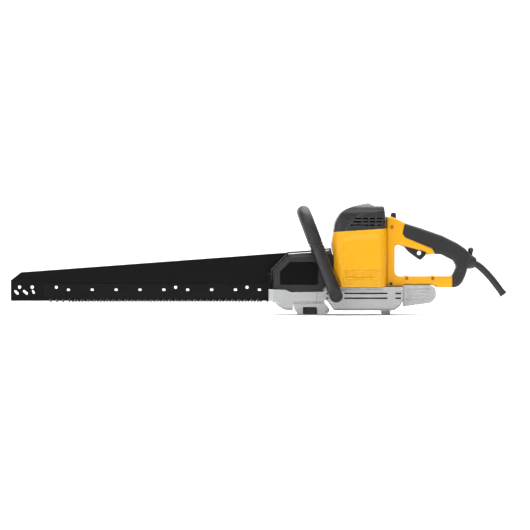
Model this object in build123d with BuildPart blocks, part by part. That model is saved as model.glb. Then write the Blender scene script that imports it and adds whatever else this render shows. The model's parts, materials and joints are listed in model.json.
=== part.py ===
from build123d import *
import os
from math import atan2, ceil, cos, pi, radians, sin, sqrt, tan

os.makedirs("parts", exist_ok=True)

# Twin-blade reciprocating saw. Millimetres, +Z up, blades point along -X, the whole saw is
# symmetric about Y = 0 except for its drive. The origin is below the middle of the saw, on
# the ground that the shoe and the rear foot stand on. "Left" is the operator's left, -Y.

# ---- Driving dimensions ------------------------------------------------------------------
fit = 0.1              # sliding clearance of a guided piece, each side
pin_fit = 0.05         # radial clearance of a running pin
gap = 0.4              # free clearance between pieces of different bodies

# Guide bar
nose_x = -486.6
bar_thick = 4.0
bar_low = 26.0
nose_height = 40.6
nose_cut = (20.0, 15.5)
bar_slope = 4.25       # degrees, rise of the top edge
bar_shoulder_x = 56.0
bar_tail_x = 118.0
bar_tail_low = 55.0
bar_tail_high = 108.0
bar_heel_x = 64.0
nose_hole = 6.5
nose_hole_setback = (17.0, 41.7)
nose_hole_z = 53.1
bar_bolt = 8.0
bar_bolt_spots = ((80.0, 74.0), (106.0, 98.0), (106.0, 70.0))

# Blades
stroke = 40.0
blade_thick = 1.8
blade_clear = 0.3
blade_front_x = -420.8
blade_top = 58.8
tooth_root = 33.4
tooth_tip = 22.7
tooth_pitch = 12.3
first_tooth_x = -410.5
toothed_length = 430.0
tang_front_x = 26.0
tang_rear_x = 78.0
tang_low = 31.0
tang_high = 49.0
stud_setback = ((24.0, 38.0), (8.0, 42.0))
tip_length = 2.0
tip_height = 6.5
slot_length = 6.5
slot_width = 4.5
slot_pitch = 46.8
slot_count = 9
first_slot_x = -374.0
slot_z = 48.0
round_hole = 5.9
round_holes = ((-397.5, 52.7), (-163.7, 52.7), (-23.7, 52.7))

# Drive
motor_x = 194.5
gear_module = 1.0
pinion_teeth = 8
gear_teeth = 61
profile_shift = 0.5
backlash = 0.16
wheel_addendum = 0.95
pinion_addendum = 0.65
gear_low = 35.5
gear_thick = 6.0
crank_pin = 10.0
crank_pin_height = 3.6
web_radius = 26.0
web_thick = 2.5
crank_bearing_bore = 30.0
crank_bearing_outer = 47.0
crank_bearing_width = 9.0
yoke_thick = 4.0
yoke_wall = 3.4
yoke_half_span = 31.0
arm_inner = 8.0
arm_thick = 6.0
arm_low = 30.0
arm_high = 44.0
clamp_length = 32.0
clamp_stud = 8.0
guide_x = (121.0, 139.0)
guide_half_width = 16.5
guide_low = 28.2

# Motor
stator_outer = 84.0
stator_bore = 51.0
stack_low = 84.0
stack_height = 50.0
core_outer = 50.0
commutator_outer = 30.0
commutator_low = 146.0
commutator_height = 18.0
fan_outer = 60.0
fan_low = 64.0
fan_height = 11.0
shaft_dia = 14.0
lower_bearing = (10.0, 26.0, 8.0)
upper_bearing = (8.0, 22.0, 7.0)
upper_bearing_low = 168.0
pinion_shank = 6.0

# Cast casings
gear_front_x = 128.0
gear_rear_x = 281.7
gear_floor_z = 8.2
gear_half_width = 37.0
gear_wall = 3.5
gear_floor_rounding = 7.0
cover_low = 50.0
cover_thick = 4.3
front_x = 18.4
front_half_width = 28.0
cheek_outer = 10.0
cheek_front_x = 68.0
shoe_half_width = 26.0
button_half_width = 19.6
rear_frame_half_width = 22.0
rear_frame_end_x = 345.2
foot_x = 247.5
foot_length = 17.6
foot_rounding = 3.6
foot_half_width = 20.0

# Plastic casings
guard_half_width = 24.0
guard_wall = 3.0
guard_bevel = (11.0, 5.0)   # width and depth
motor_half_width = 46.0
motor_corner = 24.0
motor_wall = 3.6
panel_depth = 2.2
motor_rear_x = 248.5
cap_top = 217.6
cap_wall = 2.6
handle_half_width = 17.0
grip_half_width = 18.5
grip_rounding = 7.0
trigger_half_width = 7.0
trigger_pin_dia = 4.0
trigger_pivot = (276.5, 139.5)
padlock_hole = 8.5
padlock_spot = (313.0, 120.0)

# Bail handle
bail_pivot = (148.9, 37.6)
bail_lean = 20.9       # degrees forward of upright
bail_reach = 174.0
bail_tube = 22.5
bail_grip_wall = 1.5
bail_gap = 1.25
bail_bolt = 8.0

# Worked-out sizes
crank_x = motor_x + gear_module * (pinion_teeth + gear_teeth) / 2
crank_throw = stroke / 2
blade_inner = bar_thick / 2 + blade_clear
blade_outer = blade_inner + blade_thick
gear_top = gear_low + gear_thick
bearing_plate_low = gear_low - 0.5 - crank_bearing_width
lower_web_top = bearing_plate_low - 0.6
lower_web_low = lower_web_top - web_thick
lower_pin_low = lower_web_low - crank_pin_height
lower_yoke_low = lower_pin_low - gap - yoke_thick
upper_pin_high = gear_top + crank_pin_height
upper_yoke_low = upper_pin_high + gap
upper_yoke_high = upper_yoke_low + yoke_thick
yoke_half_length = crank_pin / 2 + fit + yoke_wall
cover_high = cover_low + cover_thick
bar_nose_top = bar_low + nose_height + nose_cut[1]
bail_leg_y = gear_half_width + bail_gap + bail_tube / 2 + bail_grip_wall


def profile(plane, points, radius=0.0):
    """Closed outline on a plane, its corners rounded by one radius or by one each."""
    with BuildSketch(plane) as sketch:
        with BuildLine():
            FilletPolyline(*points, radius=radius, close=True)
        make_face()
    return sketch.sketch


def side_plane(side, distance):
    """Upright plane parallel to the blades; side is -1 for left and 1 for right."""
    return Plane.XZ.offset(-side * distance)


def save(piece, name):
    """Label a finished piece and write its STEP file."""
    piece.part.label = name
    export_step(piece.part, f"parts/{name}.step")


def bar_top_at(x):
    """Height of the guide bar's sloping top edge."""
    return bar_nose_top + (x - nose_x - nose_cut[0]) * tan(radians(bar_slope))


# ---- Guide bar and blades ----------------------------------------------------------------
slot_spots = [(first_slot_x + slot_pitch * i, slot_z) for i in range(slot_count)]
# length, width, setback from the nose, height, lean
nose_slots = ((10.5, 4.8, 10.9, 42.7, -45), (11.5, 4.8, 28.5, 42.9, -40),
              (7.5, 4.2, 43.8, 43.7, -65))

with BuildPart() as guide_bar:
    bar_outline = [
        (nose_x, bar_low),
        (nose_x, bar_low + nose_height),
        (nose_x + nose_cut[0], bar_nose_top),
        (bar_shoulder_x, bar_top_at(bar_shoulder_x)),
        (bar_shoulder_x + 6, bar_tail_high),
        (bar_tail_x, bar_tail_high),
        (bar_tail_x, bar_tail_low),
        (bar_heel_x, bar_tail_low),
        (bar_heel_x, bar_low),
    ]
    extrude(profile(Plane.XZ, bar_outline), amount=bar_thick / 2, both=True)
    with BuildSketch(Plane.XZ):
        with Locations(*[(nose_x + back, nose_hole_z) for back in nose_hole_setback]):
            Circle(nose_hole / 2)
        for length, width, back, z, lean in nose_slots:
            with Locations(Location((nose_x + back, z, 0), (0, 0, lean))):
                SlotOverall(length, width)
        with Locations(*slot_spots):
            SlotOverall(slot_length, slot_width)
        with Locations(*round_holes):
            Circle(round_hole / 2)
        with Locations(*bar_bolt_spots):
            Circle(bar_bolt / 2 + 0.2)
    extrude(amount=bar_thick, both=True, mode=Mode.SUBTRACT)
save(guide_bar, "guide_bar")

tooth_count = int(toothed_length // tooth_pitch)
stagger = (ceil(stroke / tooth_pitch) + 0.5) * tooth_pitch - stroke - tooth_pitch
stud_spots = [(tang_rear_x - back, z) for back, z in stud_setback]


def tooth_fronts(shift):
    """X of the cutting face of each tooth of a blade moved back by shift."""
    start = first_tooth_x + (shift + stagger if shift else 0)
    return [start + tooth_pitch * i for i in range(tooth_count)]


def blade(side, shift):
    """Toothed blade with a tang, moved back by shift along its stroke."""
    with BuildPart() as body:
        x = blade_front_x + shift
        outline = [(x, tooth_root), (x, blade_top)]
        outline += [(tang_front_x + shift, blade_top), (tang_front_x + shift, tang_high)]
        outline += [(tang_rear_x + shift, tang_high), (tang_rear_x + shift, tang_low)]
        outline += [(tang_front_x + shift, tang_low), (tang_front_x + shift, tooth_root)]
        for front in reversed(tooth_fronts(shift)):
            outline += [(front + 7.6, tooth_root), (front + 3.2, tooth_tip + 0.6)]
            outline += [(front + tip_length, tooth_tip + 0.6)]
            outline += [(front + tip_length, tooth_tip + tip_height)]
            outline += [(front, tooth_tip + tip_height), (front, tooth_root)]
        with BuildSketch(side_plane(side, blade_inner)):
            Polygon(*outline, align=None)
            with Locations(*slot_spots):
                SlotOverall(slot_length, slot_width, mode=Mode.SUBTRACT)
            with Locations(*round_holes):
                Circle(round_hole / 2, mode=Mode.SUBTRACT)
            with Locations(*[(u + shift, v) for u, v in stud_spots]):
                Circle(clamp_stud / 2 + fit, mode=Mode.SUBTRACT)
        extrude(amount=-side * blade_thick)
    return body


def carbide_tips(side, shift):
    """Brazed tip at the cutting face of every tooth of one blade."""
    middle = (blade_inner + blade_outer) / 2
    with BuildPart() as tips:
        with BuildSketch(side_plane(side, middle)):
            for front in tooth_fronts(shift):
                corners = [(front, tooth_tip), (front + tip_length, tooth_tip + 0.6)]
                corners += [(front + tip_length, tooth_tip + tip_height)]
                corners += [(front, tooth_tip + tip_height)]
                Polygon(*corners, align=None)
        extrude(amount=blade_thick / 2 + 0.1, both=True)
    return tips


for side_name, side, shift in (("left", -1, 0.0), ("right", 1, stroke)):
    save(blade(side, shift), f"blade_{side_name}")
    save(carbide_tips(side, shift), f"carbide_tips_{side_name}")

# ---- Blade carriers ----------------------------------------------------------------------
left_yoke_x = crank_x - crank_throw
right_yoke_x = crank_x + crank_throw
arm_rear_x = crank_x - gear_module * gear_teeth / 2 - profile_shift - 2.0
arm_knee = 8.0


def yoke(x, low):
    """Cross-slot plate that the crank pin drives."""
    with BuildPart() as plate:
        with BuildSketch(Plane.XY.offset(low)):
            with Locations((x, 0)):
                RectangleRounded(2 * yoke_half_length, 2 * yoke_half_span, 3)
                slot = stroke + crank_pin + 2 * fit
                SlotOverall(slot, crank_pin + 2 * fit, rotation=90, mode=Mode.SUBTRACT)
        extrude(amount=yoke_thick)
    return plate.part


def carrier(side, shift, arm_points, yoke_part):
    """Arm with a clamp head and studs for one blade, and its yoke."""
    with BuildPart() as body:
        extrude(profile(side_plane(side, arm_inner), arm_points), amount=-side * arm_thick)
        front = tang_rear_x - clamp_length - 2 + shift
        with BuildSketch(side_plane(side, blade_outer)):
            with Locations((front + clamp_length / 2, (arm_low + arm_high) / 2)):
                Rectangle(clamp_length, arm_high - arm_low)
        extrude(amount=-side * (arm_inner + arm_thick - blade_outer))
        with BuildSketch(side_plane(side, blade_inner + 0.2)):
            with Locations(*[(u + shift, v) for u, v in stud_spots]):
                Circle(clamp_stud / 2)
        extrude(amount=-side * (arm_inner - blade_inner))
        add(yoke_part)
    return body


left_front = tang_rear_x - clamp_length - 2
left_knee_x = arm_rear_x - stroke
left_arm = [
    (left_front, arm_low), (left_front, arm_high),
    (left_knee_x - 12, arm_high), (left_knee_x - 12, upper_yoke_high),
    (left_yoke_x - yoke_half_length + 1, upper_yoke_high),
    (left_yoke_x - yoke_half_length + 1, upper_yoke_low),
    (left_knee_x, upper_yoke_low), (left_knee_x, arm_low),
]
right_arm = [
    (left_front + stroke, arm_low), (left_front + stroke, arm_high),
    (arm_rear_x, arm_high), (arm_rear_x, lower_yoke_low + yoke_thick),
    (right_yoke_x - yoke_half_length + 1, lower_yoke_low + yoke_thick),
    (right_yoke_x - yoke_half_length + 1, lower_yoke_low),
    (arm_rear_x - arm_knee, lower_yoke_low), (arm_rear_x - arm_knee, arm_low),
]
carrier_left = carrier(-1, 0.0, left_arm, yoke(left_yoke_x, upper_yoke_low))
save(carrier_left, "carrier_left")
carrier_right = carrier(1, stroke, right_arm, yoke(right_yoke_x, lower_yoke_low))
save(carrier_right, "carrier_right")

with BuildPart() as carrier_guides:
    for side in (-1, 1):
        with BuildSketch(Plane.YZ.offset(guide_x[0])):
            inner_edge = arm_inner - 2.5
            with Locations((side * (inner_edge + guide_half_width) / 2,
                            (guide_low + cover_low) / 2)):
                Rectangle(guide_half_width - inner_edge, cover_low - guide_low)
            with Locations((side * (arm_inner + arm_thick / 2), (arm_low + arm_high) / 2)):
                Rectangle(arm_thick + 2 * fit, arm_high - arm_low + 2 * fit,
                          mode=Mode.SUBTRACT)
        extrude(amount=guide_x[1] - guide_x[0])
save(carrier_guides, "carrier_guides")


# ---- Crank and gears ---------------------------------------------------------------------
def gear_outline(teeth, shift, addendum):
    """Involute gear outline about the origin, with a tooth centred on +X."""
    pitch_r = gear_module * teeth / 2
    base_r = pitch_r * cos(radians(20))
    tip_r = pitch_r + gear_module * (addendum + shift)
    root_r = pitch_r - gear_module * (1.25 - shift)
    half = (pi / 2 + 2 * shift * tan(radians(20))) * gear_module / 2 - backlash / 2
    inv = tan(radians(20)) - radians(20)
    low_r = max(base_r, root_r + 0.02)
    flank = []
    for i in range(5):
        r = low_r + (tip_r - low_r) * i / 4
        press = sqrt(max(0.0, (r / base_r) ** 2 - 1))
        flank.append((r, half / pitch_r + inv - (press - atan2(press, 1))))
    points = []
    for tooth in range(teeth):
        mid = 2 * pi * tooth / teeth
        sides = [(root_r, mid - flank[0][1])] + [(r, mid - a) for r, a in flank]
        sides += [(r, mid + a) for r, a in reversed(flank)] + [(root_r, mid + flank[0][1])]
        points += [(r * cos(a), r * sin(a)) for r, a in sides]
    return points


with BuildPart() as drive_gear:
    with BuildSketch(Plane((crank_x, 0, gear_low), x_dir=(-1, 0, 0))):
        Polygon(*gear_outline(gear_teeth, -profile_shift, wheel_addendum), align=None)
        Circle(crank_pin, mode=Mode.SUBTRACT)
    extrude(amount=gear_thick)
    with BuildSketch(Plane.XY.offset(gear_top)):
        with Locations((left_yoke_x, 0)):
            Circle(crank_pin / 2)
    extrude(amount=crank_pin_height)
save(drive_gear, "drive_gear")

with BuildPart() as crankshaft:
    for low, high, radius, x in (
        (lower_pin_low, lower_web_low, crank_pin / 2, right_yoke_x),
        (lower_web_low, lower_web_top, web_radius, crank_x),
        (lower_web_top, gear_low, crank_bearing_bore / 2, crank_x),
        (gear_low, gear_top, crank_pin, crank_x),
    ):
        with BuildSketch(Plane.XY.offset(low)):
            with Locations((x, 0)):
                Circle(radius)
        extrude(amount=high - low)
save(crankshaft, "crankshaft")


def ring_bearing(x, low, bore, outer, width):
    """Two-race ball bearing with its balls, standing on the given height."""
    with BuildPart() as body:
        wall = (outer - bore) / 2
        with BuildSketch(Plane.XY.offset(low)):
            with Locations((x, 0)):
                Circle(outer / 2)
                Circle(outer / 2 - wall * 0.3, mode=Mode.SUBTRACT)
                Circle(bore / 2 + wall * 0.3)
                Circle(bore / 2, mode=Mode.SUBTRACT)
        extrude(amount=width)
        ring = (outer + bore) / 4
        count = int(2 * pi * ring / (wall * 0.75))
        with BuildSketch(Plane.XY.offset(low + width * 0.3)):
            with Locations((x, 0)):
                Circle(ring + wall * 0.21)
                Circle(ring - wall * 0.21, mode=Mode.SUBTRACT)
        extrude(amount=width * 0.4)
        with Locations((x, 0, low + width / 2)):
            with PolarLocations(ring, count):
                Sphere(wall * 0.22)
    return body


crank_bearing = ring_bearing(crank_x, bearing_plate_low, crank_bearing_bore + 2 * pin_fit,
                             crank_bearing_outer, crank_bearing_width)
save(crank_bearing, "crank_bearing")

chamber_front_x = crank_x - gear_module * gear_teeth / 2 - profile_shift - 1.0
chamber_rear_x = crank_x + gear_module * gear_teeth / 2 + 3.0
chamber_half_width = gear_half_width - gear_wall
with BuildPart() as bearing_plate:
    with BuildSketch(Plane.XY.offset(bearing_plate_low)):
        with Locations(((chamber_front_x + 1.2 + chamber_rear_x) / 2, 0)):
            Rectangle(chamber_rear_x - chamber_front_x - 1.2, 2 * chamber_half_width)
        with Locations((crank_x, 0)):
            Circle(crank_bearing_outer / 2, mode=Mode.SUBTRACT)
    extrude(amount=crank_bearing_width)
save(bearing_plate, "bearing_plate")

# ---- Gear housing ------------------------------------------------------------------------
gear_side = [
    (gear_front_x, cover_low), (gear_front_x, 28.5), (134.5, 24.7), (145.4, gear_floor_z),
    (262, gear_floor_z), (275, 17), (gear_rear_x, 34), (gear_rear_x, cover_low),
]
gear_side_round = [0, 0, 3, 6, 14, 12, 8, 0]
tunnel_side = [
    (gear_front_x - 1, cover_low + 1), (gear_front_x - 1, guide_low), (139, guide_low),
    (148, gear_floor_z + gear_wall), (chamber_front_x + 1, gear_floor_z + gear_wall),
    (chamber_front_x + 1, cover_low + 1),
]
slot_rows = (32.4, 41.8)
# middle and length of each cooling slot
slot_runs = ((133.4, 6.5), (207.5, 85.0), (270.5, 12.0))
cooling_slot_height = 3.2
cooling_slot_depth = 2.2
with BuildPart() as gear_housing:
    extrude(profile(Plane.XZ, gear_side, gear_side_round), amount=gear_half_width, both=True)
    outer_faces = gear_housing.faces().filter_by(Axis.Y)
    floor_edges = outer_faces.edges().filter_by(GeomType.LINE).group_by(Axis.Z)[0]
    fillet(floor_edges, gear_floor_rounding)
    extrude(profile(Plane.XZ, tunnel_side), amount=guide_half_width, both=True,
            mode=Mode.SUBTRACT)
    with BuildSketch(Plane.XY.offset(gear_floor_z + gear_wall)):
        with Locations(((chamber_front_x + chamber_rear_x) / 2, 0)):
            Rectangle(chamber_rear_x - chamber_front_x, 2 * chamber_half_width)
    extrude(amount=cover_low, mode=Mode.SUBTRACT)
    for side in (-1, 1):
        with BuildSketch(side_plane(side, gear_half_width - cooling_slot_depth)):
            for z in slot_rows:
                for middle, length in slot_runs:
                    with Locations((middle, z)):
                        SlotOverall(length, cooling_slot_height)
        extrude(amount=-side * 2 * cooling_slot_depth, mode=Mode.SUBTRACT)
    with BuildSketch(Plane.XZ):
        with Locations(bail_pivot):
            Circle(bail_bolt / 2)
    extrude(amount=gear_half_width + 1, both=True, mode=Mode.SUBTRACT)
save(gear_housing, "gear_housing")

bearing_seat_low = cover_high - 1.3
with BuildPart() as gear_cover:
    with BuildSketch(Plane.XY.offset(cover_low)):
        with Locations(((gear_front_x + gear_rear_x) / 2, 0)):
            RectangleRounded(gear_rear_x - gear_front_x, 2 * gear_half_width, 6)
    extrude(amount=cover_thick)
    with BuildSketch(Plane.XY.offset(cover_high)):
        with Locations((motor_x, 0)):
            Circle(lower_bearing[1] / 2 + 3.5)
    extrude(amount=bearing_seat_low + lower_bearing[2] - cover_high)
    with BuildSketch(Plane.XY.offset(bearing_seat_low)):
        with Locations((motor_x, 0)):
            Circle(lower_bearing[1] / 2)
    extrude(amount=2 * lower_bearing[2], mode=Mode.SUBTRACT)
    with Locations((motor_x, 0, cover_low)):
        Cylinder(lower_bearing[0] / 2 + 3, 4 * cover_thick, mode=Mode.SUBTRACT)
save(gear_cover, "gear_cover")

# ---- Front housing, shoe and release button ----------------------------------------------
front_side = [
    (front_x, 49.4), (51.5, 48.6), (62.0, 43.8), (123.5, 44.6), (gear_front_x, 46.5),
    (gear_front_x, 23.2), (66.0, 23.2), (66.0, 8.2), (54.0, 8.2), (45.5, 10.8),
    (35.3, 17.4), (28.6, 26.6), (front_x, 26.6),
]
front_side_round = [0, 0, 0, 0, 0, 0, 0, 0, 8, 6, 6, 4, 3]
front_bevel = (8.0, 5.0)    # width and depth
front_crown = [(front_x, 90.0), (front_x, 28.0), (33.0, 17.0), (48.0, 7.6), (80.0, 7.6),
               (190.0, -60.0), (190.0, 90.0)]
with BuildPart() as front_housing:
    extrude(profile(Plane.XZ, front_side, front_side_round),
            amount=front_half_width - front_bevel[1], both=True)
    for side in (-1, 1):
        shoulder = front_half_width - front_bevel[1]
        crown = profile(side_plane(side, front_half_width), front_crown)
        with BuildPart(mode=Mode.PRIVATE) as bevelled:
            loft([profile(side_plane(side, shoulder), front_crown),
                  offset(crown, amount=-front_bevel[0], kind=Kind.INTERSECTION,
                         mode=Mode.PRIVATE)], ruled=True)
            extrude(profile(Plane.XZ, front_side, front_side_round),
                    amount=front_half_width, both=True, mode=Mode.INTERSECT)
        add(bevelled.part)
    with BuildSketch(Plane.XZ):
        with Locations(((cheek_front_x + gear_front_x) / 2, 46)):
            Rectangle(gear_front_x - cheek_front_x, 18)
    extrude(amount=guide_half_width + 2.5, both=True)
    with BuildSketch(Plane.XZ):
        cheek_points = [(cheek_front_x, 54), (cheek_front_x, 112), (124, 112), (124, 54)]
        Polygon(*cheek_points, align=None)
    extrude(amount=cheek_outer, both=True)
    with BuildSketch(Plane.XZ):
        cavity_low = arm_low - 2
        cavity = [(front_x - 1, 60), (cheek_front_x, 60), (cheek_front_x, 50.2),
                  (gear_front_x + 1, 50.2), (gear_front_x + 1, cavity_low),
                  (bar_heel_x + 2, cavity_low), (bar_heel_x + 2, 12), (front_x - 1, 12)]
        Polygon(*cavity, align=None)
    extrude(amount=blade_outer + 1.2, both=True, mode=Mode.SUBTRACT)
    with BuildSketch(Plane.XZ):
        bay = [(front_x + 5, 60), (cheek_front_x, 60), (cheek_front_x, 50.2),
               (gear_front_x + 1, 50.2), (gear_front_x + 1, cavity_low),
               (front_x + 5, cavity_low)]
        Polygon(*bay, align=None)
    extrude(amount=guide_half_width, both=True, mode=Mode.SUBTRACT)
    with BuildSketch(Plane.XZ):
        Polygon((cheek_front_x - 1, 53.9), (cheek_front_x - 1, 120), (130, 120), (130, 53.9),
                align=None)
    extrude(amount=bar_thick / 2, both=True, mode=Mode.SUBTRACT)
    with BuildSketch(Plane.XZ):
        with Locations(*bar_bolt_spots):
            Circle(bar_bolt / 2 + 0.2)
    extrude(amount=cheek_outer + 1, both=True, mode=Mode.SUBTRACT)
save(front_housing, "front_housing")

shoe_pin_spot = (132.7, 6.6)
button_x = (85.5, 112.9)
shoe_side = [(66.2, 23.0), (68.0, 10.6), (74.0, 2.2), (82.0, 0.0), (118.0, 0.0),
             (131.0, 1.2), (137.0, 7.5), (137.2, 12.0), (128.0, 23.0)]
shoe_round = [0, 6, 6, 4, 4, 3, 3, 3, 0]
with BuildPart() as shoe:
    extrude(profile(Plane.XZ, shoe_side, shoe_round), amount=shoe_half_width, both=True)
    with BuildSketch(Plane.XZ):
        window = [(button_x[0] - gap, -1), (button_x[0] - gap, 14.9),
                  (button_x[1] + gap, 14.9), (button_x[1] + gap, -1)]
        Polygon(*window, align=None)
    extrude(amount=shoe_half_width + 1, both=True, mode=Mode.SUBTRACT)
    with BuildSketch(Plane.XZ):
        well = [(button_x[0] - gap, 0), (button_x[0] - gap, 21.5),
                (button_x[1] + gap, 21.5), (button_x[1] + gap, 0)]
        Polygon(*well, align=None)
    extrude(amount=button_half_width + gap, both=True, mode=Mode.SUBTRACT)
    with BuildSketch(Plane.XZ):
        with Locations(shoe_pin_spot):
            Circle(3.3)
    extrude(amount=shoe_half_width + 1, both=True, mode=Mode.SUBTRACT)
save(shoe, "shoe")

with BuildPart() as shoe_pin:
    with BuildSketch(Plane.XZ):
        with Locations(shoe_pin_spot):
            Circle(3.3)
    extrude(amount=shoe_half_width + 0.8, both=True)
    chamfer(shoe_pin.faces().filter_by(Axis.Y).edges(), 0.5)
save(shoe_pin, "shoe_pin")

with BuildPart() as release_button:
    button_points = [(button_x[0], 0.6), (button_x[0], 14.5),
                     (button_x[1], 14.5), (button_x[1], 0.6)]
    extrude(profile(Plane.XZ, button_points, [1, 3, 3, 1]), amount=button_half_width,
            both=True)
save(release_button, "release_button")


def coil_spring(x, y, low, radius, wire, turns, height):
    """Compression spring drawn at its shortest working length, axis upright."""
    with BuildPart() as body:
        with BuildLine():
            path = Helix(pitch=(height - wire) / turns, height=height - wire, radius=radius,
                         center=(x, y, low + wire / 2))
        with BuildSketch(Plane(path @ 0, z_dir=path % 0)):
            Circle(wire / 2)
        sweep(is_frenet=True)
    return body


release_spring = coil_spring(99.2, 0, 14.5, 5, 1.2, 2, 2.9)
save(release_spring, "release_spring")

# ---- Guard, bracket and bar bolts --------------------------------------------------------
guard_rear_x = 144.6
guard_side = [(22.5, 50.6), (22.5, 87.0), (55.7, 122.1), (100.5, 125.1), (139.6, 129.9),
              (guard_rear_x, 112.0), (guard_rear_x, cover_high + 0.2),
              (127.6, cover_high + 0.2), (122.0, 45.4), (63.5, 44.6), (52.0, 49.4)]
guard_crown = [(22.5, 20.0), (22.5, 87.0), (55.7, 122.1), (100.5, 125.1), (180.0, 134.9),
               (180.0, 20.0)]
guard_panel = [(40.6, 58.0), (40.6, 84.0), (60.0, 103.0), (115.6, 103.0), (115.6, 58.0)]


def guard(side):
    """One half of the plastic cover over the bar clamp: bevelled rim, sunk panel."""
    bevel_width, bevel_depth = guard_bevel
    with BuildPart() as body:
        shoulder = guard_half_width - bevel_depth
        extrude(profile(side_plane(side, bar_thick / 2), guard_crown),
                amount=-side * (shoulder - bar_thick / 2))
        crown = profile(side_plane(side, guard_half_width), guard_crown)
        loft([profile(side_plane(side, shoulder), guard_crown),
              offset(crown, amount=-bevel_width, kind=Kind.INTERSECTION, mode=Mode.PRIVATE)],
             ruled=True)
        extrude(profile(side_plane(side, 0), guard_side), amount=-side * guard_half_width,
                mode=Mode.INTERSECT)
        inner = offset(profile(side_plane(side, 0), guard_side), amount=-guard_wall,
                       kind=Kind.INTERSECTION, mode=Mode.PRIVATE)
        extrude(inner, amount=-side * (guard_half_width - guard_wall), mode=Mode.SUBTRACT)
        with BuildSketch(side_plane(side, 0)):
            Polygon((10, 40), (10, 62), (30, 62), (60, 56), (118, 56), (122, 60), (140, 60),
                    (140, 40), align=None)
        extrude(amount=-side * (guard_half_width - guard_wall - 1), mode=Mode.SUBTRACT)
        extrude(profile(side_plane(side, guard_half_width - 1.5), guard_panel, 3),
                amount=-side * 3, mode=Mode.SUBTRACT)
    return body


save(guard(-1), "guard_left")
save(guard(1), "guard_right")

bracket_half_width = 23.0
with BuildPart() as front_brackets:
    with BuildSketch(Plane.YZ.offset(front_x)):
        with Locations((0, 65.0)):
            RectangleRounded(2 * bracket_half_width, 30.0, 4)
            Rectangle(2 * (blade_outer + 1.2), 40, mode=Mode.SUBTRACT)
    extrude(amount=22.4 - front_x)
save(front_brackets, "front_brackets")

with BuildPart() as bar_bolts:
    with BuildSketch(Plane.XZ):
        with Locations(*bar_bolt_spots):
            Circle(bar_bolt / 2)
    extrude(amount=cheek_outer + 1, both=True)
    for side in (-1, 1):
        with BuildSketch(side_plane(side, cheek_outer)):
            with Locations(*bar_bolt_spots):
                RegularPolygon(7.2, 6)
        extrude(amount=-side * 5)
save(bar_bolts, "bar_bolts")

# ---- Motor casing and cap ----------------------------------------------------------------
motor_front_x = 140.0
motor_left = [(159.5, cover_high), (155.6, 71.0), (145.0, 90.0), (145.6, 117.0),
              (140.8, 135.0), (145.4, 161.0)]
motor_nose_x = (145.2, 172.0)
motor_nose_top = 92.0
motor_nose_half_width = 30.0
motor_right_top = 168.0
cap_side = [(145.4, 161.0), (148.2, 179.0), (152.1, 187.5), (159.2, 198.5), (169.0, 205.5),
            (183.3, 211.5), (199.0, 215.0), (212.1, cap_top), (225.2, 211.2), (241.7, 211.2),
            (244.4, 201.0), (248.1, motor_right_top)]
cap_round = [0, 8, 8, 10, 14, 20, 12, 5, 5, 4, 8, 0]


def tower(side_face, inset, low, high):
    """Upright casing block: rounded in plan, cut to a side outline."""
    length = motor_rear_x - motor_front_x - 2 * inset
    with BuildPart() as body:
        with BuildSketch(Plane.XY.offset(low)):
            with Locations(((motor_rear_x + motor_front_x) / 2, 0)):
                RectangleRounded(length, 2 * (motor_half_width - inset),
                                 motor_corner - inset)
        extrude(amount=high - low)
        extrude(side_face, amount=motor_half_width, both=True, mode=Mode.INTERSECT)
    return body.part


def motor_face(inset, extra):
    """Side outline of the motor casing, inset by a wall and lengthened at both ends."""
    points = [(x + inset, z) for x, z in motor_left]
    points[0] = (points[0][0], points[0][1] - extra)
    points[-1] = (points[-1][0], points[-1][1] + extra)
    points += [(motor_rear_x - inset, motor_right_top + extra)]
    points += [(motor_rear_x - inset, cover_high - extra)]
    return profile(Plane.XZ, points, [0, 10, 10, 12, 8, 0, 0, 0])


panel_side = [(162.0, 30.0), (162.0, 153.4), (240.5, 160.2), (240.5, 30.0)]
panel_floor_side = [(165.0, 30.0), (165.0, 143.0), (237.5, 150.2), (237.5, 30.0)]
panel_floor = motor_half_width - panel_depth
rib_x = 201.2
rib_length = 70.0
rib_height = 10.9
rib_wall = 2.2
rib_rise = 1.8
rib_rows = (80.5, 66.6)


def motor_nose(inset, extra):
    """Narrow front foot of the motor casing, between the legs of the bail handle."""
    with BuildPart() as body:
        with BuildSketch(Plane.XY.offset(cover_high - extra)):
            with Locations(((motor_nose_x[0] + motor_nose_x[1]) / 2 + inset, 0)):
                RectangleRounded(motor_nose_x[1] - motor_nose_x[0],
                                 2 * (motor_nose_half_width - inset), 6)
        extrude(amount=motor_nose_top - cover_high - inset + extra)
    return body.part


motor_outer = tower(motor_face(0, 0), 0, cover_high, 175)
motor_inner = tower(motor_face(motor_wall, 8), motor_wall, cover_high - 8, 185)
with BuildPart() as motor_housing:
    add(motor_outer)
    add(motor_nose(0, 0))
    add(motor_inner, mode=Mode.SUBTRACT)
    add(motor_nose(motor_wall, 8), mode=Mode.SUBTRACT)
    for side in (-1, 1):
        loft([profile(side_plane(side, motor_half_width), panel_side),
              profile(side_plane(side, panel_floor), panel_floor_side)],
             ruled=True, mode=Mode.SUBTRACT)
        with BuildSketch(side_plane(side, panel_floor)):
            with Locations(*[(rib_x, z) for z in rib_rows]):
                SlotOverall(rib_length, rib_height)
                SlotOverall(rib_length - 2 * rib_wall, rib_height - 2 * rib_wall,
                            mode=Mode.SUBTRACT)
        extrude(amount=-side * rib_rise)
save(motor_housing, "motor_housing")


def cap_arch(inset):
    """Front-view outline of the cap."""
    half = motor_half_width - inset
    points = [(-half, 140), (-half, cap_top - inset), (half, cap_top - inset), (half, 140)]
    return profile(Plane.YZ.offset(194), points, [0, 26, 26, 0])


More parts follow.
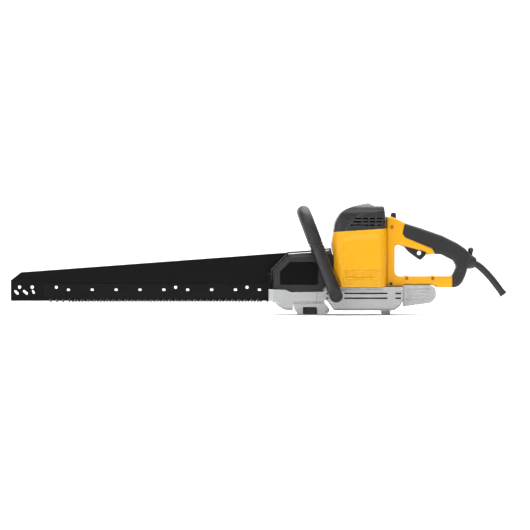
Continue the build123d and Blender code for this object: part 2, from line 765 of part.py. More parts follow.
cap_face = profile(Plane.XZ, cap_side, cap_round)
cap_hollow = offset(cap_face, amount=-cap_wall, kind=Kind.INTERSECTION)
vent_rows = (187.4, 180.9, 174.4)
vent_front_x = 184.0
vent_step = 4.0
vent_breaks = (200.1, 213.2, 226.6, 239.7)
vent_rear_x = 246.0
vent_gap = 1.8
vent_height = 3.4
vent_field = [(168.0, 166.0), (181.0, 183.5), (194.0, 193.0), (213.5, 198.6), (252.0, 204.8),
              (252.0, 160.0), (168.0, 160.0)]
vent_field_depth = 1.0
cap_port = (231.7, 205.4)
cap_port_floor = 5.9
screen_clear = 1.0
screen_wall = 1.8
screen_z = (171.2, 191.0)
screen_front_x = 176.3
cap_screw_spot = (172.1, 187.4)
cap_screw_head = 7.2
with BuildPart() as top_cap:
    add(tower(cap_face, 0, 158, 222))
    extrude(cap_arch(0), amount=80, both=True, mode=Mode.INTERSECT)
    with BuildPart(mode=Mode.PRIVATE) as hollow:
        add(tower(cap_hollow, cap_wall, 158, 222))
        extrude(cap_arch(cap_wall), amount=80, both=True, mode=Mode.INTERSECT)
    add(hollow.part, mode=Mode.SUBTRACT)
    with BuildSketch(Plane.XY.offset(155)):
        with Locations(((motor_rear_x + motor_front_x) / 2 + 1.5, 0)):
            RectangleRounded(90, 2 * (motor_half_width - cap_wall - 2), motor_corner - 4)
    extrude(amount=16, mode=Mode.SUBTRACT)
    with BuildPart(mode=Mode.PRIVATE) as vent_skin:
        add(tower(cap_face, 0, 158, 222))
        add(tower(cap_face, vent_field_depth, 150, 230), mode=Mode.SUBTRACT)
        extrude(profile(Plane.XZ, vent_field, [3, 6, 12, 12, 0, 0, 0]),
                amount=motor_half_width + 1, both=True, mode=Mode.INTERSECT)
    add(vent_skin.part, mode=Mode.SUBTRACT)
    for row, z in enumerate(vent_rows):
        edges = (vent_front_x - vent_step * row,) + vent_breaks + (vent_rear_x,)
        with BuildSketch(Plane.XZ):
            for start, end in zip(edges, edges[1:]):
                with Locations(((start + end) / 2, z)):
                    SlotOverall(end - start - vent_gap, vent_height)
        extrude(amount=motor_half_width + 1, both=True, mode=Mode.SUBTRACT)
    for side in (-1, 1):
        with BuildSketch(side_plane(side, motor_half_width - cap_port_floor)):
            with Locations(cap_port):
                SlotOverall(6.5, 3)
        extrude(amount=-side * 2 * cap_port_floor, mode=Mode.SUBTRACT)
    with BuildSketch(Plane.XZ):
        with Locations(cap_screw_spot):
            Circle(cap_screw_head / 2)
    extrude(amount=motor_half_width, both=True, mode=Mode.SUBTRACT)
save(top_cap, "top_cap")

bridge_length = 26.0
screen_inset = cap_wall + screen_clear
screen_face = offset(cap_face, amount=-screen_inset, kind=Kind.INTERSECTION)
with BuildPart() as dust_screen:
    add(tower(screen_face, screen_inset, screen_z[0], screen_z[1]))
    add(tower(screen_face, screen_inset + screen_wall, 160, 200), mode=Mode.SUBTRACT)
    with BuildSketch(Plane.XZ):
        with Locations((motor_x, (screen_z[0] + upper_bearing_low + upper_bearing[2]) / 2)):
            Rectangle(bridge_length + 2 * gap,
                      upper_bearing_low + upper_bearing[2] - screen_z[0])
        with Locations((screen_front_x, screen_z[0])):
            Rectangle(60, 60, align=(Align.MAX, Align.CENTER))
    extrude(amount=motor_half_width, both=True, mode=Mode.SUBTRACT)
save(dust_screen, "dust_screen")

with BuildPart() as cap_screws:
    for side in (-1, 1):
        with BuildSketch(side_plane(side, 36)):
            with Locations(cap_screw_spot):
                Circle(cap_screw_head / 2)
        extrude(amount=-side * 7.5)
save(cap_screws, "cap_screws")

# ---- Motor -------------------------------------------------------------------------------
with BuildPart() as stator_core:
    with BuildSketch(Plane.XY.offset(stack_low)):
        with Locations((motor_x, 0)):
            Circle(stator_outer / 2)
            Circle(stator_outer / 2 - 8, mode=Mode.SUBTRACT)
            with Locations((0, 27.5), (0, -27.5)):
                Rectangle(34, 20)
            Circle(stator_bore / 2, mode=Mode.SUBTRACT)
    extrude(amount=stack_height)
save(stator_core, "stator_core")

coil_x = 20.6
coil_y = 21.3
coil_width = 6.0
coil_depth = 5.0
with BuildPart() as field_coils:
    with BuildSketch(Plane.XY.offset(stack_low - 6)):
        with Locations((motor_x - coil_x, 0), (motor_x + coil_x, 0)):
            with Locations((0, coil_y), (0, -coil_y)):
                Rectangle(coil_width, coil_depth)
    extrude(amount=stack_height + 12)
    for low in (stack_low - 6, stack_low + stack_height + 0.4):
        with BuildSketch(Plane.XY.offset(low)):
            with Locations((motor_x, coil_y), (motor_x, -coil_y)):
                Rectangle(2 * coil_x + coil_width, coil_depth)
        extrude(amount=5.6)
save(field_coils, "field_coils")

with BuildPart() as armature_shaft:
    with BuildSketch(Plane((motor_x, 0, gear_low))):
        tooth_turn = 180 / pinion_teeth
        outline = gear_outline(pinion_teeth, profile_shift, pinion_addendum)
        Polygon(*outline, align=None, rotation=tooth_turn)
    extrude(amount=gear_thick + 1.5)
    for low, high, dia in (
        (gear_low + gear_thick + 1.5, bearing_seat_low, pinion_shank),
        (bearing_seat_low, bearing_seat_low + lower_bearing[2] + 1, lower_bearing[0]),
        (bearing_seat_low + lower_bearing[2] + 1, upper_bearing_low, shaft_dia),
        (upper_bearing_low, upper_bearing_low + upper_bearing[2] + 1, upper_bearing[0]),
    ):
        with BuildSketch(Plane.XY.offset(low)):
            with Locations((motor_x, 0)):
                Circle(dia / 2)
        extrude(amount=high - low)
save(armature_shaft, "armature_shaft")

with BuildPart() as armature_core:
    with BuildSketch(Plane.XY.offset(stack_low)):
        with Locations((motor_x, 0)):
            Circle(core_outer / 2)
            Circle(shaft_dia / 2, mode=Mode.SUBTRACT)
            with PolarLocations(core_outer / 2 - 4, 12):
                SlotOverall(12, 3, mode=Mode.SUBTRACT)
    extrude(amount=stack_height)
    with BuildSketch(Plane.XY.offset(stack_low)):
        with Locations((motor_x, 0)):
            with PolarLocations(core_outer / 2 - 5.5, 12):
                Rectangle(8, 3)
            Circle(core_outer / 2 - 8, mode=Mode.SUBTRACT)
    extrude(amount=stack_height)
save(armature_core, "armature_core")

with BuildPart() as commutator:
    with BuildSketch(Plane.XY.offset(commutator_low)):
        with Locations((motor_x, 0)):
            Circle(commutator_outer / 2)
            Circle(shaft_dia / 2, mode=Mode.SUBTRACT)
            with PolarLocations(commutator_outer / 2, 24):
                Rectangle(2.4, 0.6, mode=Mode.SUBTRACT)
    extrude(amount=commutator_height)
save(commutator, "commutator")

fan_blades = 9
with BuildPart() as fan:
    with BuildSketch(Plane.XY.offset(fan_low)):
        with Locations((motor_x, 0)):
            Circle(fan_outer / 2)
            Circle(shaft_dia / 2, mode=Mode.SUBTRACT)
    extrude(amount=2)
    with BuildSketch(Plane.XY.offset(fan_low)):
        with Locations((motor_x, 0)):
            with PolarLocations(fan_outer / 4 + 5.5, fan_blades):
                Rectangle(fan_outer / 2 - 12, 1.6)
            Circle(shaft_dia / 2 + 3)
            Circle(shaft_dia / 2, mode=Mode.SUBTRACT)
    extrude(amount=fan_height)
save(fan, "fan")

bore, outer, width = lower_bearing
armature_lower_bearing = ring_bearing(motor_x, bearing_seat_low, bore + 2 * pin_fit, outer,
                                      width)
save(armature_lower_bearing, "armature_lower_bearing")
bore, outer, width = upper_bearing
armature_upper_bearing = ring_bearing(motor_x, upper_bearing_low, bore + 2 * pin_fit, outer,
                                      width)
save(armature_upper_bearing, "armature_upper_bearing")

with BuildPart() as bearing_bridge:
    with BuildSketch(Plane.XY.offset(upper_bearing_low)):
        with Locations((motor_x, 0)):
            Rectangle(bridge_length, 2 * (motor_half_width - motor_wall) - 4)
            Circle(upper_bearing[1] / 2 + 3.5)
            Circle(upper_bearing[1] / 2, mode=Mode.SUBTRACT)
    extrude(amount=upper_bearing[2])
    for side in (-1, 1):
        with BuildSketch(Plane.XY.offset(commutator_low)):
            with Locations((motor_x, side * (motor_half_width - motor_wall - 4))):
                Rectangle(bridge_length, 4)
        extrude(amount=upper_bearing_low - commutator_low)
save(bearing_bridge, "bearing_bridge")

brush_z = commutator_low + 9
brush_start = commutator_outer / 2 + 0.2
with BuildPart() as brushes:
    for side in (-1, 1):
        with BuildSketch(side_plane(side, brush_start)):
            with Locations((motor_x, brush_z)):
                Rectangle(8, 11)
        extrude(amount=-side * 13)
save(brushes, "brushes")

with BuildPart() as brush_holders:
    for side in (-1, 1):
        with BuildSketch(side_plane(side, brush_start + 1.5)):
            with Locations((motor_x, brush_z)):
                Rectangle(12, 15)
                Rectangle(8.2, 11.2, mode=Mode.SUBTRACT)
        extrude(amount=-side * (motor_half_width - motor_wall - 6.2 - brush_start - 1.5))
save(brush_holders, "brush_holders")

with BuildPart() as brush_springs:
    for side in (-1, 1):
        with BuildSketch(side_plane(side, brush_start + 13)):
            with Locations((motor_x, brush_z)):
                Circle(3.6)
                Circle(2.8, mode=Mode.SUBTRACT)
        extrude(amount=-side * 7)
save(brush_springs, "brush_springs")

# ---- Rear D-handle -----------------------------------------------------------------------
handle_side = [
    (motor_rear_x, 191.6), (257.5, 191.2), (269.5, 186.6), (286.0, 178.2), (317.0, 168.4),
    (357.0, 154.4), (387.0, 139.6), (403.2, 128.4), (414.5, 115.0), (403.2, 75.5),
    (392.0, 52.5), (346.0, 53.0), (338.0, 58.0), (282.5, 58.0), (282.5, cover_high),
    (motor_rear_x, cover_high),
]
handle_round = [0, 10, 20, 20, 60, 40, 20, 14, 9, 30, 22, 10, 10, 0, 0, 0]
hand_opening = [
    (264.8, 135.4), (277.1, 135.4), (325.2, 122.5), (327.2, 115.4), (337.1, 118.4),
    (356.0, 117.5), (379.5, 105.5), (386.0, 93.0), (377.5, 74.5), (264.8, 74.5),
]
opening_round = [6, 3, 2, 3, 6, 20, 8, 8, 10, 10]
grip_side = handle_side[:11] + [(motor_rear_x, 52.5)]
grip_side_round = handle_round[:11] + [0]
grip_opening = [(264.8, 135.4)] + hand_opening[4:]
grip_opening_round = [6] + opening_round[4:]
grip_region = [
    (288, 195), (281.3, 163.5), (280.1, 157.4), (285.2, 150.5), (329.1, 132.5),
    (337.1, 129.4), (342.2, 121.5), (342.2, 100), (377.1, 100), (377.1, 40), (430, 40),
    (430, 195),
]
handle_pocket = [
    (253, 142), (253, 183), (267, 180), (284, 171), (316, 161), (356, 147), (384, 133),
    (399, 121), (402, 109), (396, 94), (391, 96), (385, 110), (360, 124), (343, 130),
    (328, 140), (284, 146),
]
bar_pocket = [(255, 60), (255, 69), (370, 69), (370, 60)]
trigger_slot = [(271.0, 100), (271.0, 148), (331.5, 148), (331.5, 100)]
knob_x = (257.6, 268.2)
knob_slot = [(knob_x[0] - gap, 176), (knob_x[0] - gap, 200), (knob_x[1] + gap, 200),
             (knob_x[1] + gap, 176)]
gland_spot = (408.0, 104.0)
gland_axis = (0.96, -0.28)
sleeve_bore = 9.0
handle_screw_spots = ((258.7, 171.1), (288.1, 70.4), (339.1, 70.4))
handle_screw_head = 7.2
foot_screw_spot = (257.5, 60.0)
foot_screw_head = 6.4
screw_sink = 2.5
boss_radius = 5.6


def blank(side, half_width, rounding, outer, outer_round, opening, inner_round):
    """Half of a closed D, solid, with its outer edges rounded."""
    with BuildPart() as body:
        extrude(profile(side_plane(side, 0), outer, outer_round), amount=-side * half_width)
        extrude(profile(side_plane(side, 0), opening, inner_round),
                amount=-side * half_width, mode=Mode.SUBTRACT)
        fillet(body.faces().sort_by(Axis.Y)[0 if side < 0 else -1].edges(), rounding)
    return body.part


def shell_blank(side):
    """Outer form of one handle shell."""
    return blank(side, handle_half_width, 4, handle_side, handle_round, hand_opening,
                 opening_round)


def grip_blank(side):
    """Outer form of one soft grip half, a little fatter than the shell under it."""
    return blank(side, grip_half_width, grip_rounding, grip_side, grip_side_round, grip_opening,
                 grip_opening_round)


def handle_cuts(side):
    """Space for the switch, the trigger, the lock-off button and the cable."""
    with BuildPart() as cuts:
        extrude(profile(side_plane(side, 0), handle_pocket), amount=-side * 11)
        extrude(profile(side_plane(side, 0), bar_pocket), amount=-side * 11)
        extrude(profile(side_plane(side, 0), trigger_slot),
                amount=-side * (trigger_half_width + gap))
        extrude(profile(side_plane(side, 0), knob_slot), amount=-side * (5 + gap))
        gland_plane = Plane((gland_spot[0] - 12, 0, gland_spot[1] + 3.5),
                            z_dir=(gland_axis[0], 0, gland_axis[1]))
        with BuildSketch(gland_plane):
            Circle(sleeve_bore / 2 + 2.25)
        extrude(amount=30)
        with BuildSketch(side_plane(side, 0)):
            with Locations(trigger_pivot):
                Circle(trigger_pin_dia / 2)
        extrude(amount=-side * (trigger_half_width + 5))
    return cuts.part


for side_name, side in (("left", -1), ("right", 1)):
    with BuildPart() as handle_shell:
        add(shell_blank(side))
        extrude(profile(side_plane(side, -1), grip_region),
                amount=-side * (grip_half_width + 2), mode=Mode.SUBTRACT)
        with BuildSketch(side_plane(side, handle_half_width - 5)):
            with Locations(*handle_screw_spots[1:]):
                Circle(boss_radius)
        extrude(amount=-side * 5.6)
        add(handle_cuts(side), mode=Mode.SUBTRACT)
        with BuildSketch(side_plane(side, handle_half_width - screw_sink)):
            with Locations(*handle_screw_spots):
                Circle(handle_screw_head / 2)
            with Locations(foot_screw_spot):
                Circle(foot_screw_head / 2)
        extrude(amount=-side * 2 * screw_sink, mode=Mode.SUBTRACT)
    save(handle_shell, f"handle_shell_{side_name}")
    with BuildPart() as grip:
        add(grip_blank(side))
        extrude(profile(side_plane(side, -1), grip_region),
                amount=-side * (grip_half_width + 2), mode=Mode.INTERSECT)
        add(handle_cuts(side), mode=Mode.SUBTRACT)
    save(grip, f"grip_{side_name}")



def screw_heads(spots, dia):
    """Sunk screw heads with hexagon sockets, on both sides of the handle."""
    with BuildPart() as heads:
        for side in (-1, 1):
            with BuildSketch(side_plane(side, handle_half_width - screw_sink)):
                with Locations(*spots):
                    Circle(dia / 2)
            extrude(amount=-side * 1.6)
            with BuildSketch(side_plane(side, handle_half_width - screw_sink + 0.4)):
                with Locations(*spots):
                    RegularPolygon(dia * 0.26, 6)
            extrude(amount=-side * 1.6, mode=Mode.SUBTRACT)
    return heads


save(screw_heads(handle_screw_spots, handle_screw_head), "handle_screws")
save(screw_heads([foot_screw_spot], foot_screw_head), "housing_screws")

trigger_side = [
    (272.0, 135.6), (272.0, 143.5), (283.0, 143.5), (322.0, 133.0), (326.0, 127.0),
    (326.0, 115.6), (316.2, 106.2), (311.2, 108.2), (301.3, 115.2), (291.3, 123.3),
    (283.2, 132.3), (277.0, 134.5),
]
trigger_round = [1.5, 3, 4, 3, 3, 4, 2.5, 3, 4, 4, 3, 1.5]
with BuildPart() as trigger:
    extrude(profile(Plane.XZ, trigger_side, trigger_round), amount=trigger_half_width,
            both=True)
    fillet(trigger.faces().filter_by(Axis.Y).edges(), 1.2)
    with BuildSketch(Plane.XZ):
        with Locations(padlock_spot):
            Circle(padlock_hole / 2)
        with Locations(trigger_pivot):
            Circle(trigger_pin_dia / 2 + pin_fit)
    extrude(amount=trigger_half_width + 1, both=True, mode=Mode.SUBTRACT)
save(trigger, "trigger")

with BuildPart() as trigger_pin:
    with BuildSketch(Plane.XZ):
        with Locations(trigger_pivot):
            Circle(trigger_pin_dia / 2)
    extrude(amount=trigger_half_width + 4.5, both=True)
save(trigger_pin, "trigger_pin")

with BuildPart() as switch_module:
    with BuildSketch(Plane.XZ):
        Polygon((286, 152.5), (286, 166), (314, 158.5), (340, 149.5), (340, 144), (330, 148.5),
                (318, 152.5), align=None)
    extrude(amount=9, both=True)
save(switch_module, "switch_module")

trigger_spring = coil_spring(302, 0, 145.5, 3.2, 1.0, 3, 7.0)
save(trigger_spring, "trigger_spring")

knob_travel = 5.0
with BuildPart() as lock_off_button:
    knob_points = [(knob_x[0], 178.0), (knob_x[0], 195.0), (knob_x[0] + 2.6, 199.2),
                   (knob_x[1] - 0.4, 198.2), (knob_x[1], 178.0)]
    extrude(profile(Plane.XZ, knob_points, [0.5, 2, 2, 2, 0.5]), amount=5, both=True)
save(lock_off_button, "lock_off_button")
lock_off_spring = coil_spring(262.9, 0, 175.6, 2.6, 0.8, 2, 2.4)
save(lock_off_spring, "lock_off_spring")

# ---- Cable gland, eye and bend sleeve ----------------------------------------------------
collar_length = 16.0
collar_plane = Plane((gland_spot[0], 0, gland_spot[1]), x_dir=(0, 1, 0),
                     z_dir=(gland_axis[0], 0, gland_axis[1]))
sleeve_outer = 13.5
sleeve_mouth = 16.3
with BuildPart() as cord_collar:
    with BuildSketch(collar_plane):
        Circle(14.5)
    with BuildSketch(collar_plane.offset(collar_length * 0.55)):
        Circle(13.2)
    with BuildSketch(collar_plane.offset(collar_length)):
        Circle(9.4)
    loft()
    with BuildSketch(collar_plane):
        Circle(sleeve_outer / 2)
    extrude(amount=collar_length + 2, mode=Mode.SUBTRACT)
    add(grip_blank(-1), mode=Mode.SUBTRACT)
    add(grip_blank(1), mode=Mode.SUBTRACT)
save(cord_collar, "cord_collar")

sleeve_route = [
    (gland_spot[0], gland_spot[1]),
    (gland_spot[0] + 20 * gland_axis[0], gland_spot[1] + 20 * gland_axis[1]),
    (452.5, 74.0), (478.9, 38.7),
]
with BuildPart() as cord_sleeve:
    with BuildLine(Plane.XZ) as sleeve_line:
        FilletPolyline(*sleeve_route, radius=[50, 200])
    with BuildSketch(collar_plane):
        Circle(sleeve_outer / 2)
        Circle(sleeve_bore / 2, mode=Mode.SUBTRACT)
    sweep(path=sleeve_line.line)
    end = sleeve_line.line @ 1
    end_way = sleeve_line.line % 1
    with BuildSketch(Plane(end - end_way * 7, z_dir=end_way)):
        Circle(sleeve_outer / 2)
        Circle(sleeve_bore / 2, mode=Mode.SUBTRACT)
    with BuildSketch(Plane(end, z_dir=end_way)):
        Circle(sleeve_mouth / 2)
        Circle(sleeve_bore / 2, mode=Mode.SUBTRACT)
    loft()
save(cord_sleeve, "cord_sleeve")

lug_spot = (414.5, 125.6)
lug_radius = 5.6
with BuildPart() as cord_lug:
    with BuildSketch(Plane.XZ):
        Polygon((408.5, 118.5), (411.0, 126.0), (418.5, 122.5), (416.5, 110.0), align=None)
    extrude(amount=3.4, both=True)
    with Locations((lug_spot[0], 0, lug_spot[1])):
        Sphere(lug_radius)
    add(grip_blank(-1), mode=Mode.SUBTRACT)
    add(grip_blank(1), mode=Mode.SUBTRACT)
    add(cord_collar.part, mode=Mode.SUBTRACT)
save(cord_lug, "cord_lug")

# ---- Rear frame and foot -----------------------------------------------------------------
frame_side = [
    (gear_rear_x, 57.6), (335.0, 57.6), (343.0, 51.5), (rear_frame_end_x, 44.0),
    (rear_frame_end_x, 33.0), (334.0, 22.5), (gear_rear_x, 15.5),
]
with BuildPart() as rear_frame:
    extrude(profile(Plane.XZ, frame_side, [0, 4, 4, 6, 10, 6, 0]),
            amount=rear_frame_half_width, both=True)
    add(shell_blank(-1), mode=Mode.SUBTRACT)
    add(shell_blank(1), mode=Mode.SUBTRACT)
    chamfer(rear_frame.faces().sort_by(Axis.Y)[0].edges().group_by(Axis.Z)[0], 1.5)
    for side in (-1, 1):
        with BuildSketch(side_plane(side, rear_frame_half_width - 2)):
            Polygon((286, 27), (286, 52), (333, 52), (333, 27), align=None)
        extrude(amount=-side * 4, mode=Mode.SUBTRACT)
        with BuildSketch(side_plane(side, rear_frame_half_width - 3)):
            for z in (33, 39.5, 46):
                with Locations((309.5, z)):
                    Rectangle(47, 2.2)
        extrude(amount=-side * 2.2)
    with BuildSketch(Plane.XZ):
        Polygon((301, 12), (305, 22), (309, 12), align=None)
    extrude(amount=rear_frame_half_width + 1, both=True, mode=Mode.SUBTRACT)
save(rear_frame, "rear_frame")

foot_side = [(foot_x - foot_length / 2, gear_floor_z), (foot_x - foot_length / 2, 0),
             (foot_x + foot_length / 2, 0), (foot_x + foot_length / 2, gear_floor_z)]
with BuildPart() as rear_foot:
    extrude(profile(Plane.XZ, foot_side, [0, foot_rounding, foot_rounding, 0]),
            amount=foot_half_width, both=True)
    chamfer(rear_foot.faces().sort_by(Axis.Z)[0].edges().filter_by(Axis.X), 1.5)
save(rear_foot, "rear_foot")

# ---- Bail handle -------------------------------------------------------------------------
lean_x = -sin(radians(bail_lean))
lean_z = cos(radians(bail_lean))
bail_plane = Plane((bail_pivot[0], 0, bail_pivot[1]), x_dir=(0, 1, 0),
                   z_dir=(-lean_z, 0, lean_x))
bail_corner = 34.0
bail_eye_half = bail_tube / 2 + bail_grip_wall
bolt_sink = 5.0
grip_start = 110.0
groove_width = 1.6
groove_collar = 5.0
bail_route = [(-bail_leg_y, 0), (-bail_leg_y, bail_reach), (bail_leg_y, bail_reach),
              (bail_leg_y, 0)]
grip_route = [(-bail_leg_y, grip_start), (-bail_leg_y, bail_reach),
              (bail_leg_y, bail_reach), (bail_leg_y, grip_start)]


def bail_sweep(route, outer, bore):
    """Round bar or sleeve along a U in the bail's own plane."""
    with BuildPart() as body:
        sign = 1 if (bail_plane.from_local_coords((0, 1, 0)) - bail_plane.origin).Z > 0 else -1
        points = [bail_plane.from_local_coords((y, sign * v, 0)) for y, v in route]
        with BuildLine() as line:
            FilletPolyline(*points, radius=bail_corner)
        start = Plane(line.line @ 0, z_dir=line.line % 0)
        with BuildSketch(start):
            Circle(outer / 2)
            if bore:
                Circle(bore / 2, mode=Mode.SUBTRACT)
        sweep(path=line.line)
    return body


leg_route = grip_start - 2 * groove_width - groove_collar
with BuildPart() as bail_handle:
    add(bail_sweep(bail_route, bail_tube, 0).part)
    for side in (-1, 1):
        for low, high in ((0, leg_route), (leg_route + groove_width, grip_start - groove_width)):
            foot = Vector(bail_pivot[0], side * bail_leg_y, bail_pivot[1])
            up = Vector(lean_x, 0, lean_z)
            with BuildSketch(Plane(foot + up * low, z_dir=up)):
                Circle(bail_eye_half)
            extrude(amount=high - low)
        with BuildSketch(side_plane(side, bail_leg_y - bail_eye_half)):
            with Locations(bail_pivot):
                Circle(bail_tube / 2 + bail_grip_wall)
        extrude(amount=-side * 2 * bail_eye_half)
        with BuildSketch(side_plane(side, bail_leg_y + bail_eye_half - bolt_sink)):
            with Locations(bail_pivot):
                Circle(bail_bolt / 2 + 3)
        extrude(amount=-side * 2 * bolt_sink, mode=Mode.SUBTRACT)
    with BuildSketch(Plane.XZ):
        with Locations(bail_pivot):
            Circle(bail_bolt / 2 + pin_fit)
    extrude(amount=bail_leg_y + bail_tube, both=True, mode=Mode.SUBTRACT)
save(bail_handle, "bail_handle")

bail_grip = bail_sweep(grip_route, bail_tube + 2 * bail_grip_wall, bail_tube)
save(bail_grip, "bail_grip")

with BuildPart() as bail_bolts:
    for side in (-1, 1):
        with BuildSketch(side_plane(side, gear_half_width - 16)):
            with Locations(bail_pivot):
                Circle(bail_bolt / 2)
        bolt_seat = bail_leg_y + bail_eye_half - bolt_sink + gap
        extrude(amount=-side * (bolt_seat - gear_half_width + 16))
        with BuildSketch(side_plane(side, bolt_seat)):
            with Locations(bail_pivot):
                Circle(bail_bolt / 2 + 2.4)
                RegularPolygon(3.4, 6, mode=Mode.SUBTRACT)
        extrude(amount=-side * 3)
save(bail_bolts, "bail_bolts")

with BuildPart() as bail_bosses:
    for side in (-1, 1):
        with BuildSketch(side_plane(side, gear_half_width)):
            with Locations(bail_pivot):
                Circle(15)
                Circle(bail_bolt / 2 + fit, mode=Mode.SUBTRACT)
        extrude(amount=-side * (bail_gap - gap))
save(bail_bosses, "bail_bosses")
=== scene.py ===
import json
import math

import bmesh
import bpy
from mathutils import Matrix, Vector


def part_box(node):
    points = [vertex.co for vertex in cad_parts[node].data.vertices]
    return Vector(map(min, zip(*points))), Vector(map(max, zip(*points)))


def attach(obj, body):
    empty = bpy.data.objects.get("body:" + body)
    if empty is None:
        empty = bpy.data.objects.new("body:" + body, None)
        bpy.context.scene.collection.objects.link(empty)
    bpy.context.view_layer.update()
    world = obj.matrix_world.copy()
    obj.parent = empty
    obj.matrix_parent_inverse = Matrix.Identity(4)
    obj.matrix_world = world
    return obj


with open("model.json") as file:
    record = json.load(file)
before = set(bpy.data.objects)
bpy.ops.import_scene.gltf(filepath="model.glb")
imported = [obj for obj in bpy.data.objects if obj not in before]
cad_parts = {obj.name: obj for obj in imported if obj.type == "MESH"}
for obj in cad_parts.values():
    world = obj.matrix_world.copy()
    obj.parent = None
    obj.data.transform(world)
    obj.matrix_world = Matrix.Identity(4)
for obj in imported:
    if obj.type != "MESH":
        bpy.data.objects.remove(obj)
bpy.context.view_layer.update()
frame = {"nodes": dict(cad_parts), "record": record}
nodes = frame["nodes"]
slot_of = {part["node"]: part["material_slot"] for part in frame["record"]["subparts"]}


# ---- Camera: side view from the operator's left, long lens -------------------------------
def make_camera():
    """Camera level with the saw's waist, so far away that the view is almost flat."""
    view_width = 1.0388
    distance = 4.2
    aim = Vector((0.0114, 0.0, 0.0964))
    rise = math.radians(1.0)
    data = bpy.data.cameras.new("camera")
    data.sensor_width = 36.0
    data.lens = data.sensor_width * distance / view_width
    data.clip_end = 50.0
    camera = bpy.data.objects.new("camera", data)
    bpy.context.collection.objects.link(camera)
    camera.location = aim + Vector((0.0, -math.cos(rise), math.sin(rise))) * distance
    camera.rotation_euler = (aim - camera.location).to_track_quat("-Z", "Y").to_euler()
    bpy.context.scene.camera = camera


make_camera()


# ---- Materials ---------------------------------------------------------------------------
def srgb(red, green, blue):
    """Linear colour from 0-255 display values."""
    def channel(value):
        value = value / 255.0
        return value / 12.92 if value <= 0.04045 else ((value + 0.055) / 1.055) ** 2.4
    return (channel(red), channel(green), channel(blue), 1.0)


# Noise scales, per metre of surface
cloud_scale = 22.0         # broad changes of colour
rub_and_sheen_scale = 90.0           # patches of wear and of painted edge highlight along an edge
gloss_scale = 70.0         # patches of duller or shinier surface
gloss_swing = 0.06         # how far roughness strays from its mean
grain_height = 0.0003
floor_tolerance = 0.0002   # how near a surface must be to count as a recessed floor


class Graph:
    """A material's node tree with short calls for the nodes used here."""

    def __init__(self, name):
        self.material = bpy.data.materials.new(name)
        self.material.use_nodes = True
        self.tree = self.material.node_tree
        self.shader = self.tree.nodes["Principled BSDF"]
        coordinates = self.tree.nodes.new("ShaderNodeTexCoord")
        self.place = coordinates.outputs["Object"]

    def add(self, kind, **settings):
        node = self.tree.nodes.new(kind)
        for key, value in settings.items():
            setattr(node, key, value)
        return node

    def join(self, source, target):
        self.tree.links.new(source, target)

    def stretched(self, scale):
        """Object coordinates scaled along each axis, for brushed or drawn surfaces."""
        mapping = self.add("ShaderNodeMapping")
        mapping.inputs["Scale"].default_value = scale
        self.join(self.place, mapping.inputs["Vector"])
        return mapping.outputs["Vector"]

    def noise(self, scale, detail=3.0, vector=None):
        node = self.add("ShaderNodeTexNoise")
        node.inputs["Scale"].default_value = scale
        node.inputs["Detail"].default_value = detail
        self.join(vector or self.place, node.inputs["Vector"])
        return node.outputs["Fac"]

    def spread(self, source, low, high, start=0.3, end=0.7):
        """Map a 0-1 pattern onto a range."""
        node = self.add("ShaderNodeMapRange")
        node.inputs["From Min"].default_value = start
        node.inputs["From Max"].default_value = end
        node.inputs["To Min"].default_value = low
        node.inputs["To Max"].default_value = high
        self.join(source, node.inputs["Value"])
        return node.outputs["Result"]

    def blend(self, factor, first, second):
        """Mix two colours, or colour outputs, by a pattern."""
        node = self.add("ShaderNodeMix", data_type="RGBA")
        self.join(factor, node.inputs[0])
        for socket, value in ((node.inputs[6], first), (node.inputs[7], second)):
            if isinstance(value, tuple):
                socket.default_value = value
            else:
                self.join(value, socket)
        return node.outputs[2]

    def shaded_floor_mask(self, distance):
        """One on surfaces that lie this far to either side of the middle plane."""
        split = self.add("ShaderNodeSeparateXYZ")
        self.join(self.place, split.inputs[0])
        away = self.add("ShaderNodeMath", operation="ABSOLUTE")
        self.join(split.outputs["Y"], away.inputs[0])
        near = self.add("ShaderNodeMath", operation="COMPARE")
        self.join(away.outputs[0], near.inputs[0])
        near.inputs[1].default_value = distance
        near.inputs[2].default_value = floor_tolerance
        return near.outputs[0]

    def edge_mask(self, radius):
        """Bright where the surface turns a corner within the radius."""
        bevel = self.add("ShaderNodeBevel", samples=6)
        bevel.inputs["Radius"].default_value = radius
        geometry = self.add("ShaderNodeNewGeometry")
        dot = self.add("ShaderNodeVectorMath", operation="DOT_PRODUCT")
        self.join(bevel.outputs["Normal"], dot.inputs[0])
        self.join(geometry.outputs["Normal"], dot.inputs[1])
        return self.spread(dot.outputs["Value"], 1.0, 0.0, 0.86, 0.995)


